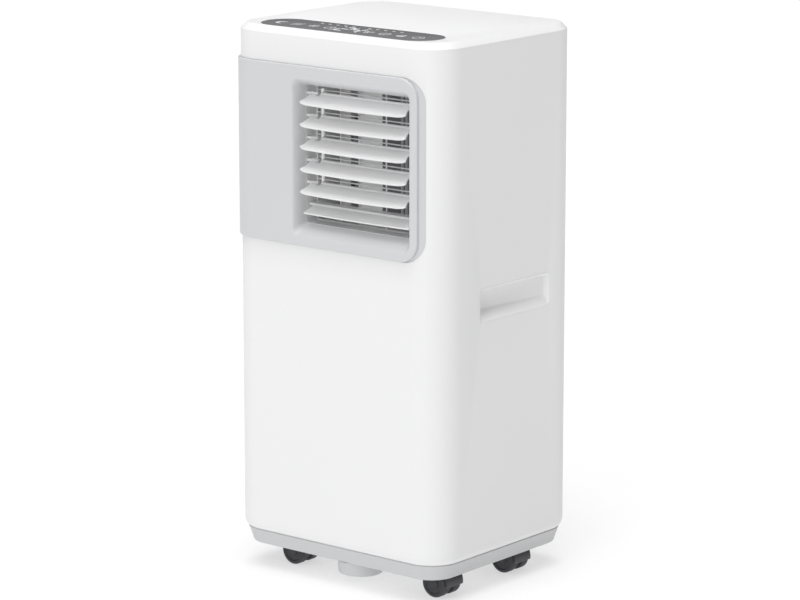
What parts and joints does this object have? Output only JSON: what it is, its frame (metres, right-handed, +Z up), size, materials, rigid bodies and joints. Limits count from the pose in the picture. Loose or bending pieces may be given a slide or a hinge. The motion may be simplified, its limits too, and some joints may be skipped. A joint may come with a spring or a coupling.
{
  "type": "portable air conditioner",
  "caption": "Upright portable air conditioner on twin-wheel castors, with a wrap-round grey outlet frame, linked louvres, top touch panel, side hand pockets and rear filters.",
  "frame": {"origin": "centre of the bounding box at floor level, where the castor wheels stand", "axes": "+Z up; the air outlet faces -Y; +X is to the right seen from the front"},
  "size_m": [0.324, 0.28, 0.6602],
  "materials": {
    "white_plastic": "fine satin moulded white",
    "pale_grey_plastic": "satin pale grey",
    "grey_plastic": "satin light grey",
    "blade_plastic": "satin white",
    "duct_plastic": "plain moulded grey white",
    "white_inner_plastic": "plain",
    "panel_lens": "smooth dark grey lens",
    "castor_plastic": "charcoal nylon",
    "castor_tread": "charcoal nylon wheel",
    "black_rubber": "soft rubber",
    "filter_mesh": "woven nylon net",
    "dark_plastic": "dark moulded plastic",
    "circuit_board": "solder mask",
    "coil_fins": "thin aluminium fins",
    "black_enamel": "stoved enamel",
    "copper_pipe": "drawn copper",
    "zinc_sheet": "zinc-plated sheet",
    "bright_steel": "zinc-plated steel"
  },
  "bodies": {
    "cabinet": {"base_tray": "grey_plastic", "castor_stems": "bright_steel", "front_shell": "white_plastic", "rear_panel": "white_plastic", "top_cover": "white_plastic", "control_panel": "panel_lens", "display_board": "circuit_board", "hand_pocket_right": "white_plastic", "hand_pocket_left": "white_plastic", "hose_socket": "white_plastic", "cord_gland": "black_rubber", "rear_screws": "bright_steel", "outlet_frame": "pale_grey_plastic", "outlet_lip": "blade_plastic", "outlet_duct": "duct_plastic", "guard_grille": "blade_plastic", "louvre_motor": "bright_steel", "evaporator_scroll": "duct_plastic", "evaporator_motor": "bright_steel", "evaporator_coil": "coil_fins", "condenser_scroll": "dark_plastic", "condenser_motor": "bright_steel", "condenser_coil": "coil_fins", "hose_plenum": "duct_plastic", "divider_deck": "duct_plastic", "compressor": "black_enamel", "compressor_feet": "black_rubber", "accumulator": "black_enamel", "refrigerant_pipes": "copper_pipe", "control_box": "zinc_sheet", "main_board": "circuit_board", "run_capacitor": "bright_steel"},
    "louvre_1": {"louvre_blade_1": "blade_plastic"},
    "louvre_2": {"louvre_blade_2": "blade_plastic"},
    "louvre_3": {"louvre_blade_3": "blade_plastic"},
    "louvre_4": {"louvre_blade_4": "blade_plastic"},
    "louvre_5": {"louvre_blade_5": "blade_plastic"},
    "louvre_bar": {"louvre_link": "blade_plastic"},
    "cold_fan": {"evaporator_wheel": "dark_plastic"},
    "hot_fan": {"condenser_wheel": "dark_plastic"},
    "upper_filter": {"upper_filter_frame": "white_plastic", "upper_filter_mesh": "filter_mesh"},
    "lower_filter": {"lower_filter_frame": "white_plastic", "lower_filter_mesh": "filter_mesh"},
    "plug": {"drain_plug": "black_rubber"},
    "float": {"water_float": "white_inner_plastic"},
    "castor_front_left": {"castor_hood_front_left": "castor_plastic"},
    "wheel_front_left_a": {"castor_wheel_front_left_a": "castor_tread"},
    "wheel_front_left_b": {"castor_wheel_front_left_b": "castor_tread"},
    "castor_front_right": {"castor_hood_front_right": "castor_plastic"},
    "wheel_front_right_a": {"castor_wheel_front_right_a": "castor_tread"},
    "wheel_front_right_b": {"castor_wheel_front_right_b": "castor_tread"},
    "castor_rear_left": {"castor_hood_rear_left": "castor_plastic"},
    "wheel_rear_left_a": {"castor_wheel_rear_left_a": "castor_tread"},
    "wheel_rear_left_b": {"castor_wheel_rear_left_b": "castor_tread"},
    "castor_rear_right": {"castor_hood_rear_right": "castor_plastic"},
    "wheel_rear_right_a": {"castor_wheel_rear_right_a": "castor_tread"},
    "wheel_rear_right_b": {"castor_wheel_rear_right_b": "castor_tread"}
  },
  "joints": [
    {"name": "louvre_1_tilt", "type": "hinge", "parent": "cabinet", "child": "louvre_1", "pos_m": [0.034, -0.1164, 0.584], "axis": [1, 0, 0], "range_deg": [-40, 45]},
    {"name": "louvre_2_tilt", "type": "hinge", "parent": "cabinet", "child": "louvre_2", "pos_m": [0.034, -0.1164, 0.5576], "axis": [1, 0, 0], "range_deg": [-40, 45]},
    {"name": "louvre_3_tilt", "type": "hinge", "parent": "cabinet", "child": "louvre_3", "pos_m": [0.034, -0.1164, 0.5312], "axis": [1, 0, 0], "range_deg": [-40, 45]},
    {"name": "louvre_4_tilt", "type": "hinge", "parent": "cabinet", "child": "louvre_4", "pos_m": [0.034, -0.1164, 0.5048], "axis": [1, 0, 0], "range_deg": [-40, 45]},
    {"name": "louvre_5_tilt", "type": "hinge", "parent": "cabinet", "child": "louvre_5", "pos_m": [0.034, -0.1164, 0.4784], "axis": [1, 0, 0], "range_deg": [-40, 45]},
    {"name": "louvre_bar_follow", "type": "hinge", "parent": "louvre_1", "child": "louvre_bar", "pos_m": [-0.0295, -0.11101, 0.58663], "axis": [1, 0, 0], "range_deg": [-45, 40]},
    {"name": "cold_fan_spin", "type": "hinge", "parent": "cabinet", "child": "cold_fan", "pos_m": [0.034, -0.01, 0.499], "axis": [1, 0, 0], "continuous": true},
    {"name": "hot_fan_spin", "type": "hinge", "parent": "cabinet", "child": "hot_fan", "pos_m": [-0.018, 0.049, 0.145], "axis": [0, 1, 0], "continuous": true},
    {"name": "upper_filter_pull", "type": "slide", "parent": "cabinet", "child": "upper_filter", "axis": [0, 1, 0], "range_m": [0, 0.08]},
    {"name": "lower_filter_pull", "type": "slide", "parent": "cabinet", "child": "lower_filter", "axis": [0, 1, 0], "range_m": [0, 0.08]},
    {"name": "drain_plug_pull", "type": "slide", "parent": "cabinet", "child": "plug", "axis": [0, 1, 0], "range_m": [0, 0.03]},
    {"name": "float_rise", "type": "slide", "parent": "cabinet", "child": "float", "axis": [0, 0, 1], "range_m": [0, 0.014]},
    {"name": "castor_front_left_swivel", "type": "hinge", "parent": "cabinet", "child": "castor_front_left", "pos_m": [-0.107, -0.082, 0.0385], "axis": [0, 0, 1], "continuous": true},
    {"name": "wheel_front_left_a_roll", "type": "hinge", "parent": "castor_front_left", "child": "wheel_front_left_a", "pos_m": [-0.092, -0.082, 0.017], "axis": [0, 1, 0], "continuous": true},
    {"name": "wheel_front_left_b_roll", "type": "hinge", "parent": "castor_front_left", "child": "wheel_front_left_b", "pos_m": [-0.092, -0.082, 0.017], "axis": [0, 1, 0], "continuous": true},
    {"name": "castor_front_right_swivel", "type": "hinge", "parent": "cabinet", "child": "castor_front_right", "pos_m": [0.111, -0.082, 0.0385], "axis": [0, 0, 1], "continuous": true},
    {"name": "wheel_front_right_a_roll", "type": "hinge", "parent": "castor_front_right", "child": "wheel_front_right_a", "pos_m": [0.126, -0.082, 0.017], "axis": [0, 1, 0], "continuous": true},
    {"name": "wheel_front_right_b_roll", "type": "hinge", "parent": "castor_front_right", "child": "wheel_front_right_b", "pos_m": [0.126, -0.082, 0.017], "axis": [0, 1, 0], "continuous": true},
    {"name": "castor_rear_left_swivel", "type": "hinge", "parent": "cabinet", "child": "castor_rear_left", "pos_m": [-0.107, 0.049, 0.0385], "axis": [0, 0, 1], "continuous": true},
    {"name": "wheel_rear_left_a_roll", "type": "hinge", "parent": "castor_rear_left", "child": "wheel_rear_left_a", "pos_m": [-0.092, 0.049, 0.017], "axis": [0, 1, 0], "continuous": true},
    {"name": "wheel_rear_left_b_roll", "type": "hinge", "parent": "castor_rear_left", "child": "wheel_rear_left_b", "pos_m": [-0.092, 0.049, 0.017], "axis": [0, 1, 0], "continuous": true},
    {"name": "castor_rear_right_swivel", "type": "hinge", "parent": "cabinet", "child": "castor_rear_right", "pos_m": [0.111, 0.049, 0.0385], "axis": [0, 0, 1], "continuous": true},
    {"name": "wheel_rear_right_a_roll", "type": "hinge", "parent": "castor_rear_right", "child": "wheel_rear_right_a", "pos_m": [0.126, 0.049, 0.017], "axis": [0, 1, 0], "continuous": true},
    {"name": "wheel_rear_right_b_roll", "type": "hinge", "parent": "castor_rear_right", "child": "wheel_rear_right_b", "pos_m": [0.126, 0.049, 0.017], "axis": [0, 1, 0], "continuous": true}
  ],
  "couplings": [
    {"joint": "louvre_2_tilt", "follows": "louvre_1_tilt", "ratio": 1},
    {"joint": "louvre_3_tilt", "follows": "louvre_1_tilt", "ratio": 1},
    {"joint": "louvre_4_tilt", "follows": "louvre_1_tilt", "ratio": 1},
    {"joint": "louvre_5_tilt", "follows": "louvre_1_tilt", "ratio": 1},
    {"joint": "louvre_bar_follow", "follows": "louvre_1_tilt", "ratio": -1}
  ]
}
